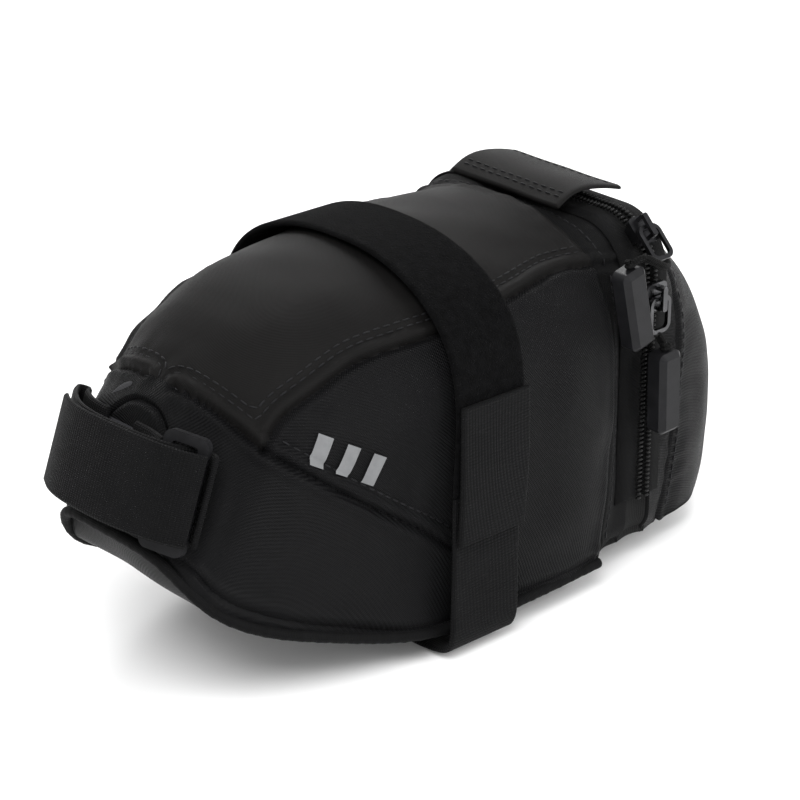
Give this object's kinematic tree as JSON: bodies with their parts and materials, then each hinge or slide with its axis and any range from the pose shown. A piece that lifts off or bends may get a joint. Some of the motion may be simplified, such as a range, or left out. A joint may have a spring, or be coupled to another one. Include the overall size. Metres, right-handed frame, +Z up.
{
  "type": "bicycle saddle bag",
  "caption": "Wedge-shaped bag hung under a bicycle saddle, with a folding zipped lid at the back, a hook-and-loop belly strap and a seat post strap.",
  "frame": {"origin": "under the middle of the bounding box, on the surface the bag stands on", "axes": "+Z up, nose with the seat post strap towards -X, zipped lid towards +X, zip pulls on the -Y side"},
  "size_m": [0.2308, 0.1036, 0.1149],
  "materials": {
    "shell": "coated fine weave, matt",
    "top_shell": "smooth soft-touch coating",
    "lining": "plain woven lining",
    "webbing": "ribbed webbing",
    "pile": "loop pile",
    "tape": "smooth tape",
    "coil": "moulded coil",
    "plastic": "satin moulded plastic",
    "board": "stiff board",
    "slider": "dark plated zinc",
    "nickel": "polished nickel",
    "cord": "braided cord",
    "reflective": "reflective transfer"
  },
  "bodies": {
    "body": {"top_panel": "top_shell", "side_panel_left": "shell", "side_panel_right": "shell", "nose_panel": "shell", "bottom_panel": "shell", "body_lining": "lining", "base_board": "board", "bottom_piping": "tape", "rear_band": "tape", "zip_tape_body": "tape", "zip_coil_body": "coil", "hinge_strip": "webbing", "zip_flap": "top_shell", "nose_pad": "tape", "nose_webbing": "webbing", "ring_tab": "webbing", "strap_ring": "plastic", "seatpost_strap": "webbing", "belly_loop_strap": "pile", "belly_webbing": "webbing", "side_mark": "reflective"},
    "lid": {"lid_shell": "shell", "lid_lining": "lining", "lid_hem": "webbing", "zip_tape_lid": "tape", "zip_coil_lid": "coil", "light_loop": "webbing"},
    "slider_upper": {"slider_upper": "slider"},
    "pull_upper": {"ring_upper": "slider", "cord_upper": "cord", "grip_upper": "plastic"},
    "slider_lower": {"slider_lower": "nickel"},
    "pull_lower": {"ring_lower": "nickel", "cord_lower": "cord", "grip_lower": "plastic"},
    "belly_tail": {"belly_tail": "webbing"},
    "seatpost_tail": {"seatpost_tail": "webbing"}
  },
  "joints": [
    {"name": "lid_hinge", "type": "hinge", "parent": "body", "child": "lid", "pos_m": [0.05642, 0.00144, 0.00687], "axis": [0, 1, 0], "range_deg": [0, 75]},
    {"name": "upper_slider_turn", "type": "hinge", "parent": "body", "child": "slider_upper", "pos_m": [0.05642, -0.02356, 0.09107], "axis": [-1, 0, 0], "range_deg": [0, 30]},
    {"name": "upper_pull_swing", "type": "hinge", "parent": "slider_upper", "child": "pull_upper", "pos_m": [0.05642, -0.03862, 0.10613], "axis": [-1, 0, 0], "range_deg": [0, 75]},
    {"name": "lower_slider_slide", "type": "slide", "parent": "body", "child": "slider_lower", "axis": [0, 0, -1], "range_m": [0, 0.056]},
    {"name": "lower_pull_swing", "type": "hinge", "parent": "slider_lower", "child": "pull_lower", "pos_m": [0.05642, -0.04486, 0.08667], "axis": [-1, 0, 0], "range_deg": [0, 80]},
    {"name": "belly_tail_peel", "type": "hinge", "parent": "body", "child": "belly_tail", "pos_m": [-0.01258, -0.04906, 0.03707], "axis": [1, 0, 0], "range_deg": [0, 60]},
    {"name": "seatpost_tail_peel", "type": "hinge", "parent": "body", "child": "seatpost_tail", "pos_m": [-0.09913, -0.03036, 0.06796], "axis": [0.342, 0, 0.9397], "range_deg": [0, 60]}
  ]
}
